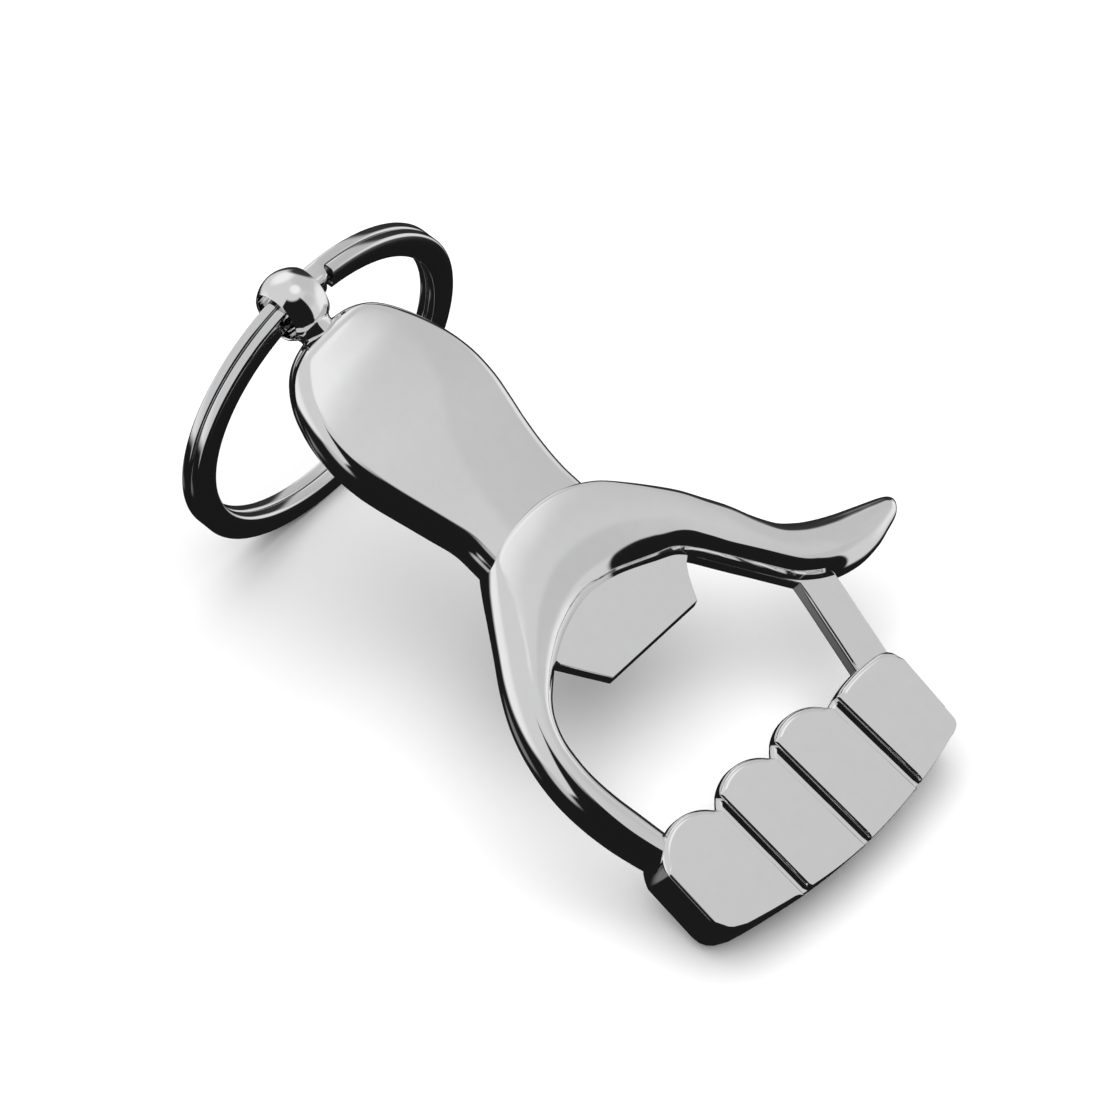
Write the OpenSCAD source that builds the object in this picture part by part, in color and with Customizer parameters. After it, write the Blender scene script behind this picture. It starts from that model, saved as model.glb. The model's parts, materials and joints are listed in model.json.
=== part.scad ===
// Keychain bottle opener: a cast hand with a cap-lifting plate, a drilled
// ball at its wrist, and a split ring that swings in the ball.
// The hand leans on its standing ring. All lengths are in millimetres.

/* [Split ring] */
// Outer diameter of the ring
ring_od = 30; // [29:0.5:32]
// Width of the flat wire, measured across the ring
wire_w = 2.24; // [2:0.02:2.3]
// Both turns of the wire together, measured along the ring's axis
turns_t = 1.9; // [1.6:0.1:1.9]
// Slit between the two turns
slit = 0.06; // [0.04:0.01:0.12]
// Angle taken by the step from one turn to the other
jog_angle = 14; // [10:1:20]
// Angle of the free end on the hand's side, from the ring's top towards the thumb
cut_angle = 5; // [5:1:60]
// How far the ring's centre is shifted sideways from the ball
ring_shift = 2.4; // [0:0.1:2.4]

/* [Ball eye] */
// Diameter of the ball
ball_d = 5.9; // [5.8:0.1:6.2]
// Diameter of the hole that the ring runs in
eye_hole_d = 4.2; // [4.2:0.05:4.4]
// Diameter of the collar between the ball and the wrist
collar_d = 3.2; // [3:0.1:4.4]
// Distance from the ball's centre to the end of the collar
collar_l = 4.2; // [3.6:0.1:4.6]
// Diameter of the stem inside the casting
stem_d = 2.8; // [2:0.1:3]
// Length of the stem inside the casting, from the ball's centre
stem_l = 8; // [6:0.5:10]
// How far the wire sits above the middle of the hole
wire_lift = 0.47; // [0.4:0.01:0.48]

/* [Hand casting] */
// Thickness of the fingers
hand_t = 5.4; // [5.2:0.1:5.6]
// Thickness of the palm, the thumb and the arm
palm_t = 5.3; // [5.1:0.1:5.3]
// Thickness of the forearm
forearm_t = 5; // [4.6:0.1:5]
// Distance from the ball's centre to the foremost finger
reach = 62.4; // [62:0.1:63]
// Radius of the arc along the front of the fingers
front_r = 49; // [45:1:60]
// Radius of the rounded back of a finger
finger_r = 3.9; // [3.8:0.1:4]
// Width of the grooves between the fingers
groove_w = 1.2; // [0.8:0.1:1.4]
// Depth of the grooves between the fingers
groove_depth = 0.8; // [0.5:0.1:1]

/* [Opener plate] */
// Thickness of the plate with the tooth and the side bar
plate_t = 1.8; // [1.5:0.1:2]
// Distance from the ball's centre to the edge of the tooth
tooth_x = 39.3; // [38.8:0.1:39.8]
// Width of the tooth along its edge
tooth_w = 9.8; // [8:0.1:10]
// Width of the side bar
bar_w = 3.2; // [2.8:0.1:3.2]

/* [Hidden] */

silver = [0.78, 0.78, 0.8];
steel = [0.7, 0.71, 0.73];
over = 0.5;

// The ring stands on the ground, the ball hangs on its upper arc
ring_r = ring_od / 2;
wire_mid_r = ring_r - wire_w / 2;
strand_t = (turns_t - slit) / 2;
ring_steps = 60;
corner_share = 0.25;
ball_z = ring_r + sqrt(wire_mid_r * wire_mid_r - ring_shift * ring_shift) - wire_lift;

// The front lower edge of the fingers touches the ground
lean = asin(ball_z / norm([reach, hand_t / 2])) - atan(hand_t / 2 / reach);

// The origin is under the middle of the whole object
thumb_y = 28;
front_x = reach * cos(lean) + hand_t / 2 * sin(lean);
ball_x = (ball_d / 2 - front_x) / 2;
ball_y = (ring_r - ring_shift - thumb_y) / 2;

// Outlines of the casting at mid thickness. The ball's centre is at the
// origin, +X points to the fingers and +Y to the thumb.
forearm_outline = [
    [2.8, 0], [3.9, -3.9], [6, -5.8], [9, -6.7], [12.8, -6.9], [16.8, -6.1],
    [20.8, -4.8], [24, -3.6], [27, -3.7], [31, -3], [31, 2], [31, 8],
    [27, 8.6], [23, 8.1], [18.8, 8.4], [14.5, 9], [10.8, 8.7], [7.4, 7.4],
    [4.6, 5.6], [3.1, 3.6]
];
palm_outline = [
    [43.8, thumb_y], [42.9, 27.2], [41.9, 24.5], [40.4, 21], [38.6, 18.5],
    [34.9, 16.2], [31.4, 13.8], [28.4, 11], [26, 8.4], [25, 5.8],
    [24.6, 3], [24.9, 0], [26, -2.6], [28, -4.6], [32, -7.6], [36, -10],
    [40, -11.2], [44, -11.5], [48, -11], [51.6, -9.9], [54, -8],
    [52, -6.6], [48.8, -7.2], [44.8, -8.1], [40.8, -8.1], [38, -7],
    [35.6, -4.5], [33.9, -1.2], [33.1, 2.2], [33.6, 5.2], [34.9, 8.8],
    [36.4, 11.4], [40, 14.1], [42.9, 16.3], [44.4, 18.4], [45.3, 20.6],
    [45.5, 23], [45.1, 25.6], [44.6, 27.3]
];
curve_steps = 3;
palm_edge = 0.95;
forearm_edge = 2.4;

// Fingers: the little, ring and middle ones, and the back of the index finger
finger_x = reach - 7.8;
finger_ys = [-6.1, 0.45, 6.95];
front_y = 4.7;
grooves = [
    [[52.4, -2.6], [62.4, -2.1]],
    [[52.5, 4], [62.6, 4.8]],
    [[52.6, 10.5], [62.6, 11.7]]
];
index_back = [
    [53.6, 18], [52.6, 17.7], [52, 16.9], [51.8, 15.4], [51.9, 13.2], [52.6, 10.4]
];
little_corner = [[59.2, -9.6], [60.3, -8.7]];
index_corner = [[60.4, 17.5], [60, 17.9]];
front_half_angle = 13.6;
little_end_angle = 266;
// Half angle of a finger's rounded back, up to where it meets the next finger
back_angle = floor(asin((finger_ys[2] - finger_ys[1]) / 2 / finger_r));
// Below this height the backs draw in towards the finger tips
draw_z = 1.3;
draw_slope = 0.5;

// Plate: the tooth, the root that the casting holds, and the side bar
tooth_y = -1.4;
bar_start = [43.7, 16.35];
bar_end = [53.4, 14.8];
bar_dir = (bar_end - bar_start) / norm(bar_end - bar_start);
bar_side = bar_w * [-bar_dir[1], bar_dir[0]];
plate_outline = [
    [tooth_x, tooth_y], [tooth_x, tooth_y + tooth_w], [35.85, 10.55],
    bar_start, bar_end, bar_end + bar_side, bar_start + bar_side,
    [41, 18.2], [36, 15], [31.5, 11.5], [29, 6], [29, 0], [31.5, -4.6],
    [35.5, -4]
];

// A smooth closed curve through the points
function spline(a, b, c, d, t) = 0.5 * (
    2 * b + (c - a) * t + (2 * a - 5 * b + 4 * c - d) * t * t
    + (3 * b - a - 3 * c + d) * t * t * t
);
function closed_curve(p, steps) = let (n = len(p)) [
    for (i = [0 : n - 1], k = [0 : steps - 1])
        spline(p[(i + n - 1) % n], p[i], p[(i + 1) % n], p[(i + 2) % n], k / steps)
];

// The same curve, moved inwards by a distance (the points run anticlockwise)
function left_of(d) = [-d[1], d[0]] / norm(d);
function inset(p, distance) = let (n = len(p)) [
    for (i = [0 : n - 1]) p[i] + distance * left_of(p[(i + 1) % n] - p[(i + n - 1) % n])
];

// Triangles across a face, between the two banks of an outline that starts at one end
function across(n) = let (half = floor((n - 1) / 2)) concat(
    [[0, 1, n - 1]],
    [for (i = [1 : half - 1], k = [0, 1])
        k == 0 ? [i, i + 1, n - i - 1] : [i, n - i - 1, n - i]],
    n % 2 == 0 ? [[half, half + 1, half + 2]] : []
);
function flipped(faces) = [for (f = faces) [f[2], f[1], f[0]]];
function raised(faces, step) = [for (f = faces) [f[0] + step, f[1] + step, f[2] + step]];

// A flat solid with softly rounded edges all round its outline
module pillow(outline, thickness, edge_w, max_angle = 72, levels = 2) {
    curve = closed_curve(outline, curve_steps);
    n = len(curve);
    stretch = thickness / 2 / sin(max_angle);
    angles = [for (k = [-levels : levels]) k * max_angle / levels];
    points = [
        for (a = angles, p = inset(curve, edge_w * (1 - cos(a))))
            [p[0], p[1], stretch * sin(a)]
    ];
    sides = [
        for (k = [0 : 2 * levels - 1], i = [0 : n - 1], half = [0, 1])
            let (a = k * n + i, b = k * n + (i + 1) % n)
                half == 0 ? [a, b, b + n] : [a, b + n, a + n]
    ];
    polyhedron(
        points = points,
        faces = concat(across(n), flipped(sides), flipped(raised(across(n), 2 * levels * n)))
    );
}

// Points along an arc, from angle a0 to angle a1
function arc(centre, radius, a0, a1, steps) = [
    for (k = [0 : steps]) let (a = a0 + (a1 - a0) * k / steps)
        centre + radius * [cos(a), sin(a)]
];

module block_shape() {
    first = 180 - back_angle;
    last = 180 + back_angle;
    polygon(concat(
        little_corner,
        arc([reach - front_r, front_y], front_r, -front_half_angle, front_half_angle, 16),
        index_corner,
        index_back,
        arc([finger_x, finger_ys[2]], finger_r, first, last, 12),
        arc([finger_x, finger_ys[1]], finger_r, first, last, 12),
        arc([finger_x, finger_ys[0]], finger_r, first, little_end_angle, 14)
    ));
}

// The four fingers, cut back along the underside of their rounded backs
module fingers() {
    back_x = finger_x - finger_r;
    drop = draw_z + hand_t / 2 + over;
    difference() {
        translate([0, 0, -hand_t / 2]) linear_extrude(height = hand_t) block_shape();
        translate([back_x, thumb_y, draw_z]) rotate([90, 0, 0])
            linear_extrude(height = 2 * thumb_y)
                polygon([[-over, over], [-over, -drop], [drop * draw_slope, -drop], [0, 0]]);
    }
}

// V-shaped groove along a line on both faces of the fingers
module groove(line) {
    run = line[1] - line[0];
    slope = atan(groove_w / 2 / groove_depth);
    for (side = [0, 1])
        mirror([0, 0, side])
            translate([line[0][0], line[0][1], hand_t / 2])
                rotate([0, 0, atan2(run[1], run[0])])
                    rotate([90, 0, 90])
                        translate([0, 0, -over])
                            linear_extrude(height = norm(run) + 2 * over)
                                polygon([
                                    [0, -groove_depth],
                                    [groove_w, groove_depth], [-groove_w, groove_depth]
                                ]);
}

// Collar and stem, shared by the ball eye and its socket
module eye_stem() {
    rotate([0, 90, 0]) cylinder(h = collar_l, d = collar_d, $fn = 64);
    rotate([0, 90, 0]) cylinder(h = stem_l, d = stem_d, $fn = 48);
}

module plate_body() {
    translate([0, 0, -plate_t / 2])
        linear_extrude(height = plate_t) polygon(plate_outline);
}

// From the opener's own frame into its leaning place
module leaning() {
    translate([ball_x, ball_y, ball_z]) rotate([0, lean, 0]) children();
}

module hand_casting() {
    color(silver) leaning() difference() {
        union() {
            pillow(forearm_outline, forearm_t, forearm_edge);
            pillow(palm_outline, palm_t, palm_edge);
            fingers();
        }
        for (line = grooves) groove(line);
        plate_body();
        eye_stem();
    }
}

module opener_plate() {
    color(steel) leaning() plate_body();
}

module ball_eye() {
    color(silver) leaning() difference() {
        union() {
            rotate([90, 0, 0]) sphere(d = ball_d, $fn = 96);
            eye_stem();
        }
        rotate([90, 0, 0]) cylinder(h = ball_d + 2, d = eye_hole_d, center = true, $fn = 72);
    }
}

// Section of the wire with its corners eased: x from the ring's axis, y along it
wire_section = let (x0 = ring_r - wire_w, h = strand_t / 2, e = corner_share * strand_t) [
    [x0 + e, -h], [ring_r - e, -h], [ring_r, e - h], [ring_r, h - e],
    [ring_r - e, h], [x0 + e, h], [x0, h - e], [x0, e - h]
];

// Shift of the wire along the ring's axis, a number of degrees after its first end
function wire_shift(a) = let (step = (a - 360 + jog_angle) / jog_angle)
    (strand_t + slit) / 2 * (step < 0 ? -1 : step > 1 ? 1 : 2 * step - 1);

// The wire in one piece: a turn, the step across, and a second turn
module split_ring() {
    n = len(wire_section);
    first = 180 - cut_angle + jog_angle;
    turn = [for (k = [0 : ring_steps]) k * (360 - jog_angle) / ring_steps];
    angles = concat(turn, [for (a = turn) a + 360]);
    last = len(angles) - 1;
    points = [
        for (a = angles, p = wire_section)
            [p[0] * cos(first + a), p[0] * sin(first + a), p[1] + wire_shift(a)]
    ];
    sides = [
        for (k = [0 : last - 1], i = [0 : n - 1], half = [0, 1])
            let (a = k * n + i, b = k * n + (i + 1) % n)
                half == 0 ? [a, b, b + n] : [a, b + n, a + n]
    ];
    start = [[for (i = [n - 1 : -1 : 0]) i]];
    end = [[for (i = [0 : n - 1]) last * n + i]];
    color(steel)
        translate([ball_x, ball_y + ring_shift, ring_r]) rotate([0, 90, 0])
            polyhedron(points = points, faces = concat(start, end, sides));
}

hand_casting();
opener_plate();
ball_eye();
split_ring();
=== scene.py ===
import json
import math

import bmesh
import bpy
from mathutils import Matrix, Vector


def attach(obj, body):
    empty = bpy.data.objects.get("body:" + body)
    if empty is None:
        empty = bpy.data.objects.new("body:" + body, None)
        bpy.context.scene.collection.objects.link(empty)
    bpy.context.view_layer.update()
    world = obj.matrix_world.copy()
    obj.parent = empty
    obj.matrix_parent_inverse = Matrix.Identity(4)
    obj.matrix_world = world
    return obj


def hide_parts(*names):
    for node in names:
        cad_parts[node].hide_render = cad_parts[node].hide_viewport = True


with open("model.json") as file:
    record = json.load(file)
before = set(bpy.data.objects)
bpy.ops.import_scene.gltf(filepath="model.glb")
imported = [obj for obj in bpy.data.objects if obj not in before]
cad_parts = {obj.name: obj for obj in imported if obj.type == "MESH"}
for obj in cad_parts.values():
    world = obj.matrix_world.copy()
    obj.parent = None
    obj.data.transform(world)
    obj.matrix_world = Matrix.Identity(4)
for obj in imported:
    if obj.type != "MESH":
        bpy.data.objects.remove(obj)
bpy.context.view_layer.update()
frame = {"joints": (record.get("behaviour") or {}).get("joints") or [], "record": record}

MM = 0.001

# ---------------------------------------------------------------- places in the frame

# The ball's centre is the point that the ring's hinge turns about, and the
# rest face's normal points away from the body's own +Z
hinge = frame["joints"][0]
mounts = {m["name"]: m for m in frame["record"]["mounts"]}
BALL = Vector(hinge["pos_m"])
BODY_Z = -Vector(mounts["back_rest"]["axis"]).normalized()
LEAN = math.atan2(BODY_Z.x, BODY_Z.z)
RING_CENTRE = Vector(mounts["key_loop"]["pos_m"])

# From the opener's own millimetres (X to the fingers, Y to the thumb) to the frame
BODY = Matrix.Translation(BALL) @ Matrix.Rotation(LEAN, 4, "Y") @ Matrix.Scale(MM, 4)
# From the ring's own millimetres (Z along its axis, -X to its top) to the frame
UPRIGHT = Matrix.Rotation(math.radians(90), 4, "Y")
RING = Matrix.Translation(RING_CENTRE) @ UPRIGHT @ Matrix.Scale(MM, 4)

# ---------------------------------------------------------------- sizes, in millimetres

HAND_HALF = 2.7       # half thickness of the fingers
PLATE_HALF = 0.9      # half thickness of the plate
BALL_R = 2.95
HOLE_R = 2.1          # the ball's hole
HOLE_RIM = 0.16       # rounding of the hole's rim
COLLAR_R = 1.55
RING_R = 15.0
WIRE_W = 2.24         # width of the flat wire, across the ring
WIRE_CORNER = 0.22    # rounding of the wire's corners
STRAND_T = 0.92       # thickness of one turn of the wire
SLIT = 0.06           # gap between the two turns
JOG = 12.0            # degrees taken by the step from one turn to the other
CUT = 5.0             # degrees from the ring's top to the cut end in sight

MERGE = 1e-4          # points closer together than this become one
SLIVER = 1e-5         # edges shorter than this are taken out


# ---------------------------------------------------------------- curves and meshes

def smooth(x):
    """A soft step from 0 to 1."""
    x = min(max(x, 0.0), 1.0)
    return x * x * (3 - 2 * x)


def blend(a, b, share):
    return tuple(p + (q - p) * share for p, q in zip(a, b))


def unit(x, y):
    n = math.hypot(x, y) or 1.0
    return x / n, y / n


def quarter(steps):
    """The angles of a quarter turn, from 0 up."""
    return [math.pi / 2 * k / steps for k in range(steps + 1)]


def spline(rows, steps):
    """A smooth curve through rows of numbers, each of any length, as a dense list."""
    out = []
    for i in range(len(rows) - 1):
        a = rows[max(i - 1, 0)]
        b = rows[i]
        c = rows[i + 1]
        d = rows[min(i + 2, len(rows) - 1)]
        for k in range(steps):
            t = k / steps
            out.append([
                0.5 * (2 * q + (r - p) * t + (2 * p - 5 * q + 4 * r - s) * t * t
                       + (3 * q - p - 3 * r + s) * t ** 3)
                for p, q, r, s in zip(a, b, c, d)
            ])
    out.append(list(rows[-1]))
    return out


def arc(cx, cy, r, a0, a1, steps):
    out = []
    for k in range(steps + 1):
        a = math.radians(a0 + (a1 - a0) * k / steps)
        out.append((cx + r * math.cos(a), cy + r * math.sin(a)))
    return out


def inset(points, distance):
    """A closed anticlockwise outline moved inwards, with mitred corners."""
    out = []
    n = len(points)
    for i in range(n):
        p = points[i - 1]
        q = points[i]
        r = points[(i + 1) % n]
        a = unit(q[0] - p[0], q[1] - p[1])
        b = unit(r[0] - q[0], r[1] - q[1])
        m = (-a[1] - b[1], a[0] + b[0])
        # A very sharp corner moves no further than this limit lets it
        k = max(m[0] * m[0] + m[1] * m[1], 0.4)
        out.append((q[0] + m[0] * 2 * distance / k, q[1] + m[1] * 2 * distance / k))
    return out


def inward_ways(points):
    """How far each corner of an outline moves when it is inset by 1."""
    return [(q[0] - p[0], q[1] - p[1]) for p, q in zip(points, inset(points, 1.0))]


def edge_run(phi, curve):
    """Share of an edge's width passed at an angle: quarter ellipse (curve 1) to flat bevel (0)."""
    return curve * (1 - math.cos(phi)) + (1 - curve) * math.sin(phi)


def skin(loops):
    """A solid, as vertices and faces, through closed loops of points, with a cap at each end."""
    n = len(loops[0])
    verts = [p for loop in loops for p in loop]
    faces = []
    for i in range(len(loops) - 1):
        for j in range(n):
            k = (j + 1) % n
            faces.append((i * n + j, i * n + k, (i + 1) * n + k, (i + 1) * n + j))
    faces.append(tuple(reversed(range(n))))
    faces.append(tuple(range(len(verts) - n, len(verts))))
    return verts, faces


def lathe(profile, steps, axis):
    """A solid turned round X or Y from a closed profile of (radius, height) points."""
    verts = []
    for i in range(steps):
        a = 2 * math.pi * i / steps
        for r, h in profile:
            u, v = r * math.cos(a), r * math.sin(a)
            verts.append((h, u, v) if axis == "X" else (u, h, -v))
    n = len(profile)
    faces = []
    for i in range(steps):
        m = (i + 1) % steps
        for j in range(n):
            k = (j + 1) % n
            faces.append((i * n + j, i * n + k, m * n + k, m * n + j))
    return verts, faces


def joined(solids):
    verts, faces = [], []
    for more_verts, more_faces in solids:
        faces += [tuple(k + len(verts) for k in face) for face in more_faces]
        verts += more_verts
    return verts, faces


def shade(mesh, angle):
    """Smooth shading, with flat caps and the edges sharper than the angle kept crisp."""
    for p in mesh.polygons:
        p.use_smooth = True
    bm = bmesh.new()
    bm.from_mesh(mesh)
    limit = math.radians(angle)
    for e in bm.edges:
        if len(e.link_faces) == 2:
            cap = max(len(f.verts) for f in e.link_faces) > 4
            e.smooth = e.calc_face_angle(0.0) < limit and not cap
    bm.to_mesh(mesh)
    bm.free()


def make_object(name, solid, crisp_angle=35.0):
    """An object from a solid's vertices and faces, in the part's own millimetres."""
    verts, faces = solid
    mesh = bpy.data.meshes.new(name)
    mesh.from_pydata(verts, [], faces)
    mesh.update()
    bm = bmesh.new()
    bm.from_mesh(mesh)
    bmesh.ops.remove_doubles(bm, verts=bm.verts, dist=MERGE)
    bmesh.ops.dissolve_degenerate(bm, edges=bm.edges, dist=SLIVER)
    bmesh.ops.recalc_face_normals(bm, faces=bm.faces)
    bm.to_mesh(mesh)
    bm.free()
    shade(mesh, crisp_angle)
    obj = bpy.data.objects.new(name, mesh)
    bpy.context.scene.collection.objects.link(obj)
    return obj


def tangents(points):
    """Unit tangents along an open list of points."""
    out = []
    for i in range(len(points)):
        p = points[max(i - 1, 0)]
        q = points[min(i + 1, len(points) - 1)]
        out.append(unit(q[0] - p[0], q[1] - p[1]))
    return out


def inward(tangent, across, turn):
    """A bank's normal towards the other bank; turn 0 makes it follow the line across."""
    nx, ny = -tangent[1], tangent[0]
    if nx * across[0] + ny * across[1] < 0:
        nx, ny = -nx, -ny
    return unit(nx * turn + across[0] * (1 - turn), ny * turn + across[1] * (1 - turn))


def ribbon(name, rows, tip, height, steps=8, edge=9, middle=22):
    """A casting between two banks: an outer and an inner outline, matched point by point.

    A row is (outer x, outer y, inner x, inner y, outer edge, inner edge, *height's own).
    The edges round over in a quarter ellipse; height(s, row) is the half thickness
    between them. Over the first tip millimetres the thickness grows from nothing.
    """
    dense = spline(rows, steps)
    outer_ways = tangents([row[0:2] for row in dense])
    inner_ways = tangents([row[2:4] for row in dense])
    start = blend(dense[0][0:2], dense[0][2:4], 0.5)
    loops = []
    for row, outer_way, inner_way in zip(dense, outer_ways, inner_ways):
        (ox, oy), (ix, iy) = row[0:2], row[2:4]
        # Never quite zero, which keeps the shares of the width defined at the tip
        width = max(math.hypot(ix - ox, iy - oy), 1e-6)
        across = unit(ix - ox, iy - oy)
        # Near the tip both normals turn towards the line across
        gone = math.dist(start, blend((ox, oy), (ix, iy), 0.5))
        grow = math.sqrt(1 - (1 - min(gone / tip, 1.0)) ** 2)
        turn = smooth(gone / (2.5 * tip))
        nx, ny = inward(outer_way, across, turn)
        mx, my = inward(inner_way, (-across[0], -across[1]), turn)
        outer_edge = min(row[4], width / 2)
        inner_edge = min(row[5], width / 2)
        top = []
        for phi in quarter(edge):
            w = outer_edge * (1 - math.cos(phi))
            top.append((ox + nx * w, oy + ny * w, height(w / width, row) * math.sin(phi)))
        a = top[-1]
        b = (ix + mx * inner_edge, iy + my * inner_edge)
        s0, s1 = outer_edge / width, 1 - inner_edge / width
        for k in range(1, middle):
            u = k / middle
            top.append((*blend(a[:2], b, u), height(s0 + (s1 - s0) * u, row)))
        for phi in reversed(quarter(edge)):
            w = inner_edge * (1 - math.cos(phi))
            top.append((ix + mx * w, iy + my * w, height(1 - w / width, row) * math.sin(phi)))
        loops.append([(x, y, z * grow) for x, y, z in top]
                     + [(x, y, -z * grow) for x, y, z in reversed(top[1:-1])])
    return make_object(name, skin(loops))


# ---------------------------------------------------------------- the casting

# Wrist bank on the thumb's side, bank on the other side, edge widths, half
# thickness, and the y of the soft ridge that runs down the forearm
FOREARM = [
    (2.80, 0.0, 2.80, 0.0, 0.8, 0.8, 1.75, 4.0),
    (2.86, 1.7, 3.00, -1.8, 0.9, 1.2, 1.8, 4.4),
    (3.15, 3.4, 3.70, -3.6, 0.9, 1.5, 1.93, 4.9),
    (3.95, 4.9, 4.90, -5.0, 0.8, 1.5, 2.1, 5.3),
    (5.4, 6.2, 6.6, -6.05, 1.0, 1.3, 2.27, 5.4),
    (7.4, 7.35, 8.6, -6.65, 1.0, 1.1, 2.4, 5.2),
    (9.8, 8.35, 10.6, -6.9, 1.0, 0.95, 2.48, 4.8),
    (12.2, 8.9, 12.8, -6.9, 1.0, 1.0, 2.52, 4.1),
    (14.6, 9.0, 15.0, -6.6, 1.0, 1.15, 2.52, 2.9),
    (16.8, 8.75, 17.0, -6.05, 1.0, 1.2, 2.48, 1.8),
    (19.0, 8.4, 19.2, -5.3, 1.0, 1.2, 2.42, 1.0),
    (21.4, 8.15, 21.4, -4.55, 1.0, 1.2, 2.36, 0.5),
    (23.8, 8.1, 23.6, -3.8, 1.0, 1.1, 2.32, 0.2),
    (26.0, 8.3, 25.8, -3.6, 0.9, 1.0, 2.28, 0.1),
    (29.5, 8.6, 29.5, -3.4, 1.0, 1.0, 2.25, 0.0),
]
FOREARM_DOME = 0.3
DOME_POWER = 2.4
RIDGE_SLOPE = 0.16
RIDGE_SOFT = 0.012


def forearm_height(s, row):
    """A low dome that falls away beyond the ridge, on the thumb's side."""
    past = row[1] + (row[3] - row[1]) * s - row[7]
    fall = RIDGE_SLOPE * (past + math.sqrt(past * past + RIDGE_SOFT)) / 2
    return row[6] - FOREARM_DOME * abs(2 * s - 1) ** DOME_POWER - fall


# Outer bank, inner bank, edge widths, half thickness at the outer edge, at the
# crease and at the inner edge, the crease's place across, and how crisp it is
PALM = [
    (43.80, 28.0, 43.80, 28.0, 0.5, 0.5, 1.5, 1.5, 1.5, 0.5, 0),
    (43.25, 27.75, 44.45, 27.7, 0.8, 0.8, 1.5, 1.6, 1.5, 0.5, 0),
    (42.85, 27.05, 45.0, 27.05, 1.0, 1.0, 1.6, 1.7, 1.6, 0.5, 0),
    (42.45, 26.0, 45.4, 25.8, 1.3, 1.3, 1.8, 1.9, 1.8, 0.5, 0),
    (41.9, 24.5, 45.8, 24.2, 1.7, 1.7, 2.0, 2.1, 2.0, 0.5, 0),
    (41.25, 22.8, 45.93, 22.4, 2.0, 2.0, 2.15, 2.3, 2.15, 0.5, 0),
    (40.4, 21.0, 45.7, 20.7, 2.1, 2.0, 2.25, 2.45, 2.25, 0.5, 0),
    (39.6, 19.7, 45.2, 19.2, 2.0, 1.9, 2.3, 2.5, 2.3, 0.5, 0),
    (38.6, 18.5, 44.35, 17.6, 1.8, 1.8, 2.35, 2.55, 2.35, 0.5, 0),
    (36.9, 17.3, 43.0, 15.95, 1.5, 1.7, 2.4, 2.6, 2.4, 0.5, 0),
    (34.9, 16.2, 40.48, 14.0, 1.3, 1.6, 2.45, 2.65, 2.4, 0.5, 0),
    (33.1, 15.0, 38.33, 12.4, 1.2, 1.5, 2.45, 2.65, 2.35, 0.5, 0.1),
    (31.4, 13.8, 36.62, 11.12, 1.0, 1.6, 2.45, 2.65, 2.3, 0.5, 0.2),
    (29.8, 12.4, 35.4, 9.9, 0.9, 1.8, 2.45, 2.65, 2.2, 0.5, 0.3),
    (28.2, 10.8, 34.7, 8.2, 0.7, 2.0, 2.42, 2.65, 2.1, 0.5, 0.5),
    (26.6, 9.0, 34.0, 6.4, 0.5, 2.1, 2.38, 2.66, 2.0, 0.5, 0.7),
    (25.6, 7.3, 33.5, 4.9, 0.4, 2.1, 2.34, 2.67, 1.95, 0.52, 0.8),
    (25.0, 5.8, 33.25, 3.6, 0.4, 2.1, 2.32, 2.68, 1.95, 0.53, 0.8),
    (24.65, 4.2, 33.1, 2.4, 0.4, 2.0, 2.32, 2.69, 1.95, 0.54, 0.8),
    (24.55, 2.4, 33.15, 1.2, 0.4, 1.9, 2.32, 2.7, 2.0, 0.55, 0.8),
    (24.7, 0.5, 33.4, 0.0, 0.4, 1.8, 2.32, 2.7, 2.0, 0.57, 0.8),
    (25.1, -1.4, 33.75, -1.1, 0.4, 1.7, 2.32, 2.7, 2.05, 0.6, 0.8),
    (25.8, -3.0, 34.2, -2.2, 0.6, 1.6, 2.3, 2.68, 2.1, 0.62, 0.8),
    (27.3, -4.35, 34.8, -3.3, 1.1, 1.5, 2.3, 2.66, 2.15, 0.62, 0.7),
    (29.3, -5.75, 35.5, -4.4, 1.6, 1.4, 2.3, 2.65, 2.2, 0.6, 0.6),
    (31.6, -7.3, 36.3, -5.4, 1.9, 1.4, 2.35, 2.65, 2.3, 0.56, 0.5),
    (34.0, -8.9, 37.3, -6.5, 1.9, 1.4, 2.4, 2.65, 2.4, 0.52, 0.3),
    (36.3, -10.1, 38.4, -7.3, 1.8, 1.4, 2.45, 2.6, 2.45, 0.5, 0),
    (38.6, -10.9, 39.9, -7.9, 1.6, 1.5, 2.5, 2.6, 2.5, 0.5, 0),
    (41.0, -11.35, 41.6, -8.15, 1.4, 1.7, 2.55, 2.6, 2.55, 0.5, 0),
    (43.6, -11.5, 43.6, -8.2, 1.3, 1.7, 2.58, 2.58, 2.58, 0.5, 0),
    (46.2, -11.3, 46.0, -7.9, 1.25, 1.7, 2.55, 2.55, 2.55, 0.5, 0),
    (48.8, -10.8, 48.5, -7.35, 1.2, 1.7, 2.48, 2.48, 2.48, 0.5, 0),
    (51.2, -10.1, 51.0, -6.8, 1.2, 1.7, 2.38, 2.38, 2.38, 0.5, 0),
    (53.4, -9.3, 53.4, -6.3, 1.2, 1.6, 2.3, 2.3, 2.3, 0.5, 0),
]
CREASE_SOFT = 0.05


def palm_height(s, row):
    """A soft dome on the crease's outer side, and a crisper slope on its inner side."""
    z_out, z_crease, z_in, crease, crisp = row[6:11]
    if s < crease:
        v = (crease - s) / crease
        return z_crease - (z_crease - z_out) * v * v
    v = (s - crease) / (1 - crease)
    line = math.sqrt(v * v + CREASE_SOFT ** 2) - CREASE_SOFT
    return z_crease - (z_crease - z_in) * (crisp * line + (1 - crisp) * v * v)


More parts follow.
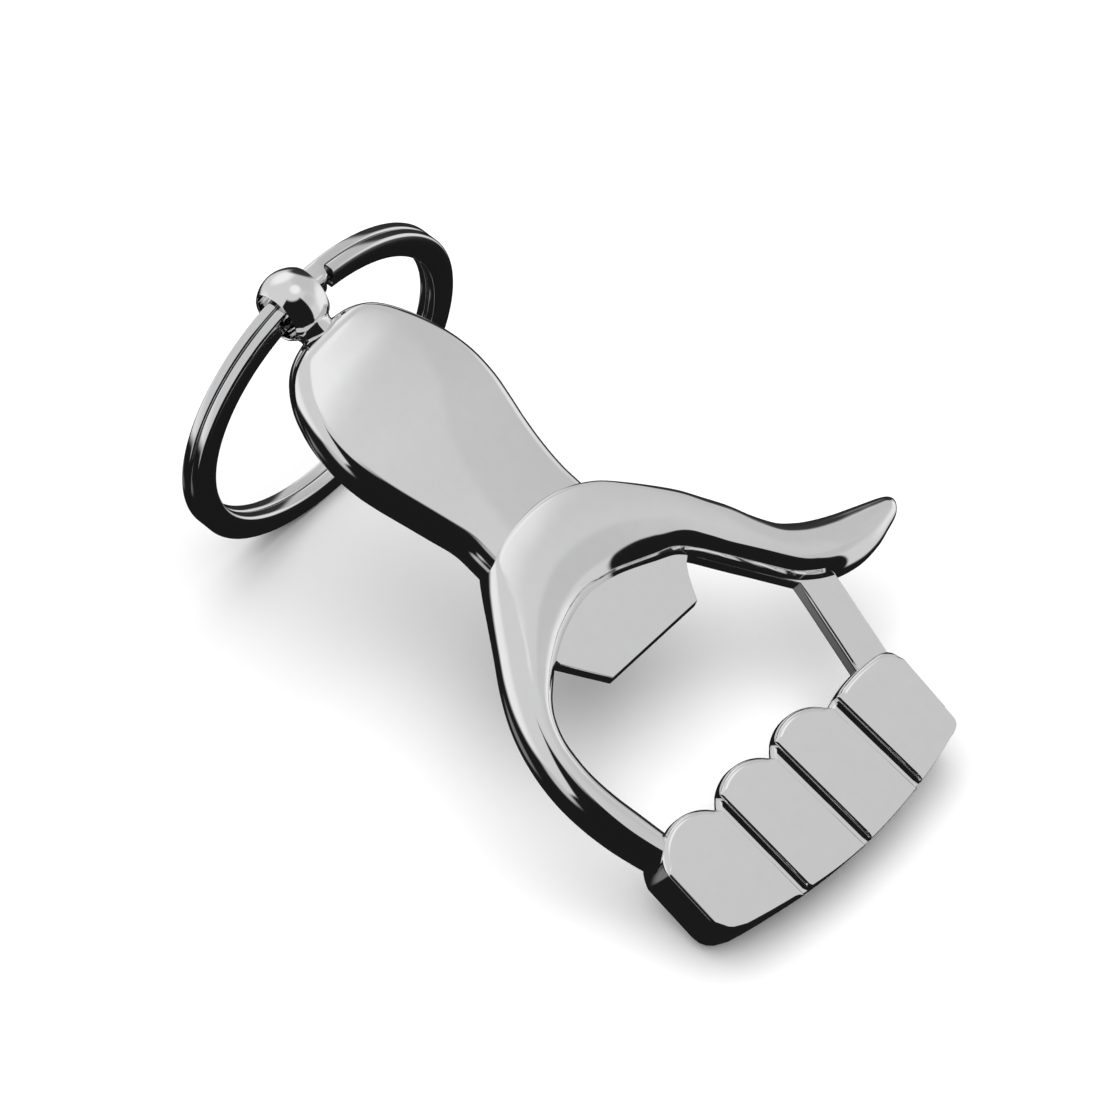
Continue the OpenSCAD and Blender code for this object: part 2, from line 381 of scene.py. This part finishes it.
forearm = ribbon("forearm", FOREARM, tip=1.2, height=forearm_height)
palm = ribbon("palm_and_thumb", PALM, tip=1.0, height=palm_height)

# Fingers: four prisms, set on a core that lies a little deeper and shows in the
# grooves. The little finger comes first, the index finger last.
REACH = 62.4                 # from the ball's centre to the foremost finger
FINGER_R = 3.9
FINGER_X = REACH - 7.8
FINGER_Y = (-6.1, 0.45, 6.95)
# The arc along the front: its radius, its foremost place across the hand, and its ends
FRONT_R = 49.0
FRONT_Y = 4.7
FRONT_ENDS = (-7.7, 16.8)
GROOVE_DEPTH = 0.75
# Places across the hand where a finger ends, where the next one starts, and the valleys
END_REAR = (-2.78, 3.72, 10.35)
END_FRONT = (-2.3, 4.5, 11.2)
START_REAR = (-1.98, 4.62, 11.27)
START_FRONT = (-1.5, 5.33, 12.0)
VALLEY_Y = (-2.82, 3.7, 10.35)
# Ends of the straight sides of the outer fingers
LITTLE_SIDE_FRONT = (58.6, -9.75)
INDEX_SIDE_FRONT = (59.9, 17.92)
INDEX_SIDE_REAR = (53.7, 18.03)
# Width and height of the rounding on each kind of edge
REAR_EDGE = (0.5, 0.6)
FRONT_EDGE = (0.12, 0.15)    # also along the index finger's free side
SIDE_EDGE = (0.22, 0.22)     # along the little finger's free side
CLIMB_EDGE = (0.2, 0.25)     # on the side that faces the finger before
LINE_EDGE = (0.06, 0.06)     # on the side that faces the finger after
BEVEL_LITTLE = (0.45, 1.7)   # along the little finger's front
BEVEL_INDEX = (0.1, 0.5)     # along the index finger's front
BEVEL_X = (58.2, 59.0)       # rounded edges turn into the bevel between these
BEVEL_Y = (-7.0, 5.0)        # the bevel narrows between these
EDGE_SLOPES = (0.6, 1.0)     # how fast an edge's width and height may grow along it
LOWER_R = 0.25               # rounding of the lower edges
# The core: how far it stays inside the fingers, and its edges
CORE_GAP = 0.03
CORE_SIDE_EDGE = (0.1, 0.1)
CORE_REAR_EDGE = (0.45, 0.35)
# Below this height the rear walls draw in, by this much, towards the finger tips
DRAW_FROM = 1.3
DRAW = 2.0
# The points of a straight side stay further than this from its front corner
CORNER_CLEAR = 0.4


def front_point(y):
    return REACH - FRONT_R + math.sqrt(FRONT_R ** 2 - (y - FRONT_Y) ** 2), y


def front_bank(low, high, steps=16):
    return [front_point(low + (high - low) * k / steps) for k in range(steps + 1)]


def finger_arc(i, low, high, steps=36):
    """The rear of a finger, between two places across the hand."""
    a0 = 180 + math.degrees(math.asin((FINGER_Y[i] - low) / FINGER_R))
    a1 = 180 - math.degrees(math.asin((high - FINGER_Y[i]) / FINGER_R))
    return arc(FINGER_X, FINGER_Y[i], FINGER_R, a0, a1, steps)


# The little finger's rear from its free side to its middle, and the index finger's whole rear
LITTLE_REAR = arc(FINGER_X, FINGER_Y[0], FINGER_R, 253, 182, 24)
INDEX_REAR = [tuple(p) for p in spline([
    (52.5, VALLEY_Y[2]), (52.15, 11.7), (51.9, 13.2), (51.83, 15.0),
    (52.05, 16.8), (52.7, 17.75), INDEX_SIDE_REAR,
], 8)]
LITTLE_CORNER = [(59.3, -9.62), (59.85, -9.3), (60.25, -8.85), (60.52, -8.3)]
INDEX_CORNER = [(60.83, 17.1), (60.7, 17.4), (60.5, 17.68), (60.22, 17.85)]


def front_edge(p):
    """The bevel along the front, wide on the little finger, and the fine edge beside it."""
    if p[0] < BEVEL_X[1]:
        return FRONT_EDGE
    narrowed = smooth((p[1] - BEVEL_Y[0]) / (BEVEL_Y[1] - BEVEL_Y[0]))
    return blend(BEVEL_LITTLE, BEVEL_INDEX, narrowed)


def roundness(x):
    """1 for a rounded edge, 0 for the flat bevel along the front."""
    return 1 - smooth((x - BEVEL_X[0]) / (BEVEL_X[1] - BEVEL_X[0]))


def drawn_in(y):
    """Share of the draw-in at a place across the hand: it fades out towards the free sides."""
    return (1 - smooth((FINGER_Y[0] - y) / 3.0)) * (1 - smooth((y - 16.0) / 2.0))


def straight(p, q, clear=0.0):
    """Points between two ends, both left out, closer together near the ends."""
    length = math.dist(p, q)
    near = (0.06, 0.15, 0.3, 0.5, 0.8, 1.2)
    places = [*near, *(near[-1] + (length - 2 * near[-1]) * k / 5 for k in range(1, 5))]
    places += [length - a for a in reversed(near) if a > clear]
    return [blend(p, q, a / length) for a in places]


def finger_outline(i):
    """One finger, anticlockwise from its rear lower corner: (point, edge, draw-in share)."""
    little, index = i == 0, i == 3
    front = front_bank(FRONT_ENDS[0] if little else START_FRONT[i - 1],
                       FRONT_ENDS[1] if index else END_FRONT[i])
    if little:
        rear = finger_arc(0, FINGER_Y[0], END_REAR[0], 24)[::-1] + LITTLE_REAR[:0:-1]
        side = straight(LITTLE_REAR[0], LITTLE_SIDE_FRONT)
        rows = [([LITTLE_REAR[0], *side, LITTLE_SIDE_FRONT], SIDE_EDGE), (LITTLE_CORNER, FRONT_EDGE)]
    elif index:
        rear = [p for p in reversed(INDEX_REAR) if p[1] > START_REAR[2]]
        rows = [(straight((rear[-1][0], START_REAR[2]), front[0], CORNER_CLEAR), CLIMB_EDGE)]
    else:
        rear = finger_arc(i, START_REAR[i - 1], END_REAR[i])[::-1]
        rows = [(straight(rear[-1], front[0], CORNER_CLEAR), CLIMB_EDGE)]
    rows.append((front, FRONT_EDGE))
    if index:
        side = straight(INDEX_SIDE_FRONT, INDEX_SIDE_REAR)
        rows.append(([*INDEX_CORNER, INDEX_SIDE_FRONT, *side], FRONT_EDGE))
    else:
        rows.append((straight(front[-1], rear[0]), LINE_EDGE))
    rows.append((rear, REAR_EDGE))

    corners = {rear[0]: SIDE_EDGE if index else LINE_EDGE, rear[-1]: SIDE_EDGE if little else LINE_EDGE}
    if not index:
        corners[front[-1]] = LINE_EDGE
    out = []
    for points, edge in rows:
        for p in points:
            share = 0
            if edge == REAR_EDGE:
                share = drawn_in(p[1])
            elif edge != FRONT_EDGE:
                # A straight side is drawn in together with the rear corner that it ends at
                end = min((rear[0], rear[-1]), key=lambda q: math.dist(p, q))
                share = drawn_in(end[1]) * max(1 - (p[0] - end[0]) / (2 * DRAW), 0)
            own = front_edge(p) if edge == FRONT_EDGE else edge
            out.append((p, corners.get(p, own), share))
    return ease(out)


def ease(outline):
    """Lets the edges widen only gradually along the outline, so that corners stay whole."""
    edges = [list(edge) for _, edge, _ in outline]
    n = len(outline)
    for way in (1, -1):
        for k in range(2 * n):
            here, last = (way * k) % n, (way * (k - 1)) % n
            gap = math.dist(outline[here][0], outline[last][0])
            for axis, slope in enumerate(EDGE_SLOPES):
                edges[here][axis] = min(edges[here][axis], edges[last][axis] + slope * gap)
    return [(p, tuple(edge), share) for (p, _, share), edge in zip(outline, edges)]


def core_outline():
    """The fingers' common outline, just inside the prisms."""
    rear = LITTLE_REAR[:-1] + finger_arc(0, FINGER_Y[0], VALLEY_Y[0], 24)
    rear += finger_arc(1, VALLEY_Y[0], VALLEY_Y[1])[1:]
    rear += finger_arc(2, VALLEY_Y[1], VALLEY_Y[2])[1:]
    rear += INDEX_REAR[1:]
    out = [(LITTLE_SIDE_FRONT, CORE_SIDE_EDGE, 0)]
    for p in (*LITTLE_CORNER, *front_bank(*FRONT_ENDS, 40), *INDEX_CORNER):
        wide, tall = front_edge(p)
        low = max(tall - GROOVE_DEPTH, CORE_SIDE_EDGE[1])
        out.append((p, (wide * low / tall, low), 0))
    out.append((INDEX_SIDE_FRONT, CORE_SIDE_EDGE, 0))
    out += [(p, CORE_REAR_EDGE, drawn_in(p[1])) for p in reversed(rear)]
    tight = inset([p for p, _, _ in out], CORE_GAP)
    return [(q, edge, share) for q, (_, edge, share) in zip(tight, out)]


def prism(outline, half, steps=5):
    """An upright solid with rounded or bevelled upper edges and drawn-in rear walls."""
    upper = [p for p, _, _ in outline]
    lower = [(x + DRAW * share, y) for (x, y), _, share in outline]
    loops = []
    for phi in reversed(quarter(steps)):
        z = -half + LOWER_R * (1 - math.sin(phi))
        loops.append([(x, y, z) for x, y in inset(lower, LOWER_R * (1 - math.cos(phi)))])
    # A line just under the rounding keeps the walls' shading flat
    for drop, limit in ((0.08, DRAW_FROM), (0.04, half)):
        loops.append([(x, y, min(half - tall - drop, limit)) for (x, y), (_, tall), _ in outline])
    ways = inward_ways(upper)
    for phi in quarter(steps):
        loop = []
        for ((x, y), (wide, tall), _), (ux, uy) in zip(outline, ways):
            w = wide * edge_run(phi, roundness(x))
            loop.append((x + ux * w, y + uy * w, half - tall * (1 - math.sin(phi))))
        loops.append(loop)
    return skin(loops)


def fingers_block():
    solids = [prism(finger_outline(i), HAND_HALF) for i in range(4)]
    solids.append(prism(core_outline(), HAND_HALF - GROOVE_DEPTH))
    return make_object("fingers", joined(solids), 40.0)


fingers = fingers_block()

# ---------------------------------------------------------------- the plate

# (x, y, edge width, edge height, roundness), anticlockwise from the tooth's lower front corner
PLATE = [
    (39.3, -1.4, 0.24, 0.66, 0), (39.3, 8.4, 0.24, 0.66, 0), (39.1, 8.65, 0.08, 0.08, 1),
    (38.1, 9.1, 0.08, 0.08, 1), (37.1, 9.6, 0.08, 0.08, 1), (36.3, 10.15, 0.08, 0.08, 1),
    (35.88, 10.7, 0.06, 0.08, 1), (43.66, 16.44, 0.08, 0.1, 1), (45.2, 16.16, 0.2, 0.32, 1),
    (53.4, 14.8, 0.2, 0.32, 1), (53.9, 17.95, 0.1, 0.1, 1), (44.2, 19.5, 0.1, 0.1, 1),
    (41.0, 18.2, 0.1, 0.1, 1), (36.0, 15.0, 0.1, 0.1, 1), (31.5, 11.5, 0.1, 0.1, 1),
    (29.0, 6.0, 0.1, 0.1, 1), (29.0, 0.0, 0.1, 0.1, 1), (31.5, -4.6, 0.1, 0.1, 1),
    (35.5, -4.0, 0.1, 0.1, 1),
]
# An angle a little below zero gives a line on the wall, which keeps its shading flat
WALL_LINE = -0.1


def plate_slab():
    """The flat plate: its edges are narrow, steep quarter ellipses, and a bevel on the tooth."""
    ways = inward_ways([row[:2] for row in PLATE])
    angles = [WALL_LINE, *quarter(4)]
    loops = []
    for side, turn in ((-1, reversed(angles)), (1, angles)):
        for phi in turn:
            loop = []
            for (x, y, wide, tall, curve), (ux, uy) in zip(PLATE, ways):
                w = wide * edge_run(max(phi, 0), curve)
                loop.append((x + ux * w, y + uy * w, side * (PLATE_HALF - tall * (1 - math.sin(phi)))))
            loops.append(loop)
    return make_object("tooth_and_bar", skin(loops))


plate = plate_slab()

# ---------------------------------------------------------------- the ball

# The neck as (radius, distance from the ball's centre), from inside the ball into the wrist
NECK = [(0.0, 2.3), (1.75, 2.3), (1.62, 2.5), (COLLAR_R, 2.7), (COLLAR_R, 4.4), (0.0, 4.4)]


def ball_eye():
    """The drilled ball, turned about its hole, and the neck, turned about the hand's length."""
    lip = HOLE_R + HOLE_RIM
    rise = math.sqrt(BALL_R ** 2 - lip ** 2)
    end = math.degrees(math.asin(rise / BALL_R))
    # The rim's centre is a little less than its radius below the sphere's end
    rim = arc(lip, rise - HOLE_RIM * 0.9, HOLE_RIM, 100, 180, 6)
    # The sphere from one rim of the hole to the other, then back through the hole
    profile = arc(0, 0, BALL_R, -end, end, 60) + rim
    profile += [(HOLE_R, h) for h in (1.2, 0.6, 0, -0.6, -1.2)]
    profile += [(r, -h) for r, h in reversed(rim)]
    return make_object("ball_eye_turned", joined([lathe(profile, 144, "Y"), lathe(NECK, 96, "X")]))


ball = ball_eye()

# ---------------------------------------------------------------- the ring

def wire_section():
    """The flat wire's section with its corners rounded, as (radius, place along the axis)."""
    r = WIRE_CORNER
    inner, outer = RING_R - WIRE_W + r, RING_R - r
    high = STRAND_T / 2 - r
    out = []
    for x, y, start in ((outer, high, 0), (inner, high, 90), (inner, -high, 180), (outer, -high, 270)):
        out += arc(x, y, r, start, start + 90, 5)
    return out


def split_ring():
    """Two turns of one wire, which steps over from the first turn to the second."""
    section = wire_section()
    first = 180 - CUT + JOG
    total = 720 - JOG
    steps = 720
    loops = []
    for i in range(steps + 1):
        a = total * i / steps
        past = (a - (360 - JOG)) / JOG
        phi = math.radians(first + a)
        loop = []
        for r, z in section:
            # The near side steps over first, the far side follows inside the ball
            near = z / STRAND_T + 0.5
            step = near * smooth(past * 4.5) + (1 - near) * smooth(past * 2.0 - 1.0)
            shift = (STRAND_T + SLIT) / 2 * (2 * step - 1)
            loop.append((r * math.cos(phi), r * math.sin(phi), z + shift))
        loops.append(loop)
    return make_object("ring_wire", skin(loops))


ring = split_ring()

# ---------------------------------------------------------------- materials

WIPE_SCALE = 900      # noise scale of the fine wipe marks, per metre
WIPE_ROUGH = 0.02     # how much rougher they make the mirror
WIPE_DULL = 0.95      # how much darker they make it
RIPPLE_SCALE = 160
RIPPLE_STRENGTH = 0.06
RIPPLE_DEPTH = 0.00005


def noise(nodes, scale, detail):
    node = nodes.new("ShaderNodeTexNoise")
    node.inputs["Scale"].default_value = scale
    node.inputs["Detail"].default_value = detail
    return node


def chrome(name, colour, rough):
    """Polished plating: a clear mirror with fine wipe marks and a faint ripple."""
    mat = bpy.data.materials.new(name)
    mat.use_nodes = True
    nodes, links = mat.node_tree.nodes, mat.node_tree.links
    bsdf = nodes["Principled BSDF"]
    bsdf.inputs["Metallic"].default_value = 1.0
    coord = nodes.new("ShaderNodeTexCoord")
    wipes = noise(nodes, WIPE_SCALE, 6)
    links.new(coord.outputs["Object"], wipes.inputs["Vector"])
    ramp = nodes.new("ShaderNodeMapRange")
    ramp.inputs["From Min"].default_value = 0.3
    ramp.inputs["From Max"].default_value = 0.7
    ramp.inputs["To Min"].default_value = rough
    ramp.inputs["To Max"].default_value = rough + WIPE_ROUGH
    links.new(wipes.outputs["Fac"], ramp.inputs["Value"])
    links.new(ramp.outputs["Result"], bsdf.inputs["Roughness"])
    tint = nodes.new("ShaderNodeMix")
    tint.data_type = "RGBA"
    tint.inputs["A"].default_value = (*[c * WIPE_DULL for c in colour], 1)
    tint.inputs["B"].default_value = (*colour, 1)
    links.new(wipes.outputs["Fac"], tint.inputs["Factor"])
    links.new(tint.outputs["Result"], bsdf.inputs["Base Color"])
    ripple = noise(nodes, RIPPLE_SCALE, 2)
    links.new(coord.outputs["Object"], ripple.inputs["Vector"])
    bump = nodes.new("ShaderNodeBump")
    bump.inputs["Strength"].default_value = RIPPLE_STRENGTH
    bump.inputs["Distance"].default_value = RIPPLE_DEPTH
    links.new(ripple.outputs["Fac"], bump.inputs["Height"])
    links.new(bump.outputs["Normal"], bsdf.inputs["Normal"])
    return mat


hand_mat = chrome("hand_chrome", (0.86, 0.86, 0.865), 0.05)
plate_mat = chrome("plate_chrome", (0.84, 0.84, 0.845), 0.08)
eye_mat = chrome("eye_chrome", (0.88, 0.88, 0.885), 0.04)
ring_mat = chrome("ring_nickel", (0.78, 0.78, 0.79), 0.07)

for obj, mat, slot, body, node, place in (
    (forearm, hand_mat, "hand_chrome", "opener", "hand_casting", BODY),
    (palm, hand_mat, "hand_chrome", "opener", "hand_casting", BODY),
    (fingers, hand_mat, "hand_chrome", "opener", "hand_casting", BODY),
    (plate, plate_mat, "plate_chrome", "opener", "opener_plate", BODY),
    (ball, eye_mat, "eye_chrome", "opener", "ball_eye", BODY),
    (ring, ring_mat, "ring_nickel", "ring", "split_ring", RING),
):
    obj.data.transform(place)
    obj.data.materials.append(mat)
    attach(obj, body)
    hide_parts(node)

# ---------------------------------------------------------------- stage

FLOOR_HALF = 3.0
FLOOR_GREY = 0.9


def stage_floor():
    bm = bmesh.new()
    bmesh.ops.create_grid(bm, x_segments=1, y_segments=1, size=FLOOR_HALF)
    mesh = bpy.data.meshes.new("floor")
    bm.to_mesh(mesh)
    bm.free()
    obj = bpy.data.objects.new("floor", mesh)
    bpy.context.scene.collection.objects.link(obj)
    mat = bpy.data.materials.new("floor_pale")
    mat.use_nodes = True
    bsdf = mat.node_tree.nodes["Principled BSDF"]
    bsdf.inputs["Base Color"].default_value = (FLOOR_GREY, FLOOR_GREY, FLOOR_GREY, 1)
    bsdf.inputs["Roughness"].default_value = 0.9
    mesh.materials.append(mat)
    obj.visible_glossy = False


stage_floor()

TENT = 0.72     # the pale walls
DARK = 0.012    # the camera's side and the table
# Round patches of the tent: (light, azimuth, elevation, radius, softness), in degrees
TENT_PATCHES = [
    (0.61, 95, 35, 30, 14),      # greyer wall on the thumb's side
    (0.98, 95, 76, 13, 7),       # lamp overhead
    (0.95, 64, -8, 22, 12),      # low lamp between the thumb and the fingers
    (0.95, -140, -14, 24, 12),   # low lamp on the wrist's side
    (0.98, 158, 22, 20, 10),     # lamp beyond the ring
    (0.04, 122, 1, 17, 6),       # dark screen on the far side
    (0.03, 122, -35, 29, 6),     # and the floor below it
    (0.6, 30, 36, 14, 12),       # greyer wall beyond the fingers
]
# Faint light below the horizon on the camera's dark side
CAMERA_PATCHES = [
    (0.6, -102, -20, 7, 5),
    (0.2, -147, -46, 8, 3),
]


class WorldNodes:
    """Small helpers that wire up the tent's light by direction."""

    def __init__(self, tree):
        self.nodes = tree.nodes
        self.links = tree.links
        self.way = self.nodes.new("ShaderNodeTexCoord").outputs["Generated"]

    def feed(self, value, socket):
        """Sets a socket to a number, or links another socket to it."""
        if isinstance(value, (int, float)):
            socket.default_value = value
        else:
            self.links.new(value, socket)

    def calc(self, kind, a, b):
        node = self.nodes.new("ShaderNodeMath")
        node.operation = kind
        self.feed(a, node.inputs[0])
        self.feed(b, node.inputs[1])
        return node.outputs[0]

    def dot(self, azimuth, elevation):
        """Cosine of the angle from a direction: azimuth from +X towards +Y, in degrees."""
        a, e = math.radians(azimuth), math.radians(elevation)
        way = (math.cos(a) * math.cos(e), math.sin(a) * math.cos(e), math.sin(e))
        node = self.nodes.new("ShaderNodeVectorMath")
        node.operation = "DOT_PRODUCT"
        node.inputs[1].default_value = way
        self.links.new(self.way, node.inputs[0])
        return node.outputs["Value"]

    def step(self, value, low, high):
        node = self.nodes.new("ShaderNodeMapRange")
        node.interpolation_type = "SMOOTHSTEP"
        node.inputs["From Min"].default_value = low
        node.inputs["From Max"].default_value = high
        self.links.new(value, node.inputs["Value"])
        return node.outputs["Result"]

    def disc(self, azimuth, elevation, radius, soft):
        """1 inside a round patch of the sky, 0 outside, with a soft edge."""
        low = math.cos(math.radians(radius + soft))
        high = math.cos(math.radians(max(radius - soft, 0)))
        return self.step(self.dot(azimuth, elevation), low, high)

    def mix(self, light, value, amount):
        """light, replaced by value where amount is 1."""
        node = self.nodes.new("ShaderNodeMix")
        self.links.new(amount, node.inputs[0])
        self.feed(light, node.inputs[2])
        node.inputs[3].default_value = value
        return node.outputs[0]


def studio_world():
    """A light tent: pale walls, a lamp above them, a dark table and a dark side for the camera."""
    world = bpy.data.worlds.new("tent")
    bpy.context.scene.world = world
    world.use_nodes = True
    tree = world.node_tree
    tree.nodes.clear()
    w = WorldNodes(tree)
    light = TENT
    for value, *patch in TENT_PATCHES:
        light = w.mix(light, value, w.disc(*patch))
    up = w.dot(0, 90)
    # The table goes dark well below the horizon, and lower still on the far side
    table = w.calc("ADD", up, w.calc("MULTIPLY", w.dot(60, 0), 0.25))
    light = w.mix(light, DARK, w.calc("SUBTRACT", 1.0, w.step(table, -0.62, -0.45)))
    # The camera's side: dark between two upright planes and under a slanting top
    below = w.calc("MULTIPLY", w.calc("MAXIMUM", w.calc("MULTIPLY", up, -1.0), 0.0), 0.62)
    left = w.calc("ADD", w.dot(4, 0), below)
    right = w.dot(-75, 0)
    top = w.calc("MULTIPLY", w.calc("SUBTRACT", 0.90, up), 0.8)
    side = w.calc("MINIMUM", w.calc("MINIMUM", left, right), top)
    light = w.mix(light, DARK, w.step(side, -0.02, 0.04))
    for value, *patch in CAMERA_PATCHES:
        light = w.mix(light, value, w.disc(*patch))
    back = tree.nodes.new("ShaderNodeBackground")
    out = tree.nodes.new("ShaderNodeOutputWorld")
    w.links.new(light, back.inputs["Color"])
    w.links.new(back.outputs["Background"], out.inputs["Surface"])


studio_world()


def fill_light():
    """A broad lamp straight overhead, which the metal doesn't mirror."""
    data = bpy.data.lights.new("fill_top", "AREA")
    data.shape = "DISK"
    data.size = 1.6
    data.energy = 16.0
    obj = bpy.data.objects.new("fill_top", data)
    obj.location = (0.0, 0.0, 1.2)
    obj.visible_glossy = False
    bpy.context.scene.collection.objects.link(obj)


fill_light()

# ---------------------------------------------------------------- camera

AZIMUTH = math.radians(42.9)
ELEVATION = math.radians(56.4)
DISTANCE = 0.45       # metres from the point that the camera looks at
AIM = BODY @ Vector((28.33, 2.27, 0))
PX_PER_MM = 12.55     # scale at that point, in a picture of this width
PICTURE_WIDTH = 1100
SENSOR = 36.0

cam_data = bpy.data.cameras.new("camera")
cam = bpy.data.objects.new("camera", cam_data)
bpy.context.scene.collection.objects.link(cam)
away = Vector((math.sin(AZIMUTH) * math.cos(ELEVATION), -math.cos(AZIMUTH) * math.cos(ELEVATION),
               math.sin(ELEVATION)))
cam.location = AIM + away * DISTANCE
cam.rotation_mode = "QUATERNION"
cam.rotation_quaternion = (-away).to_track_quat("-Z", "Y")
cam_data.sensor_fit = "HORIZONTAL"
cam_data.sensor_width = SENSOR
cam_data.lens = SENSOR * PX_PER_MM * DISTANCE / MM / PICTURE_WIDTH
cam_data.clip_start = 0.01
cam_data.clip_end = 20
bpy.context.scene.camera = cam
bpy.context.scene.view_settings.view_transform = "Standard"
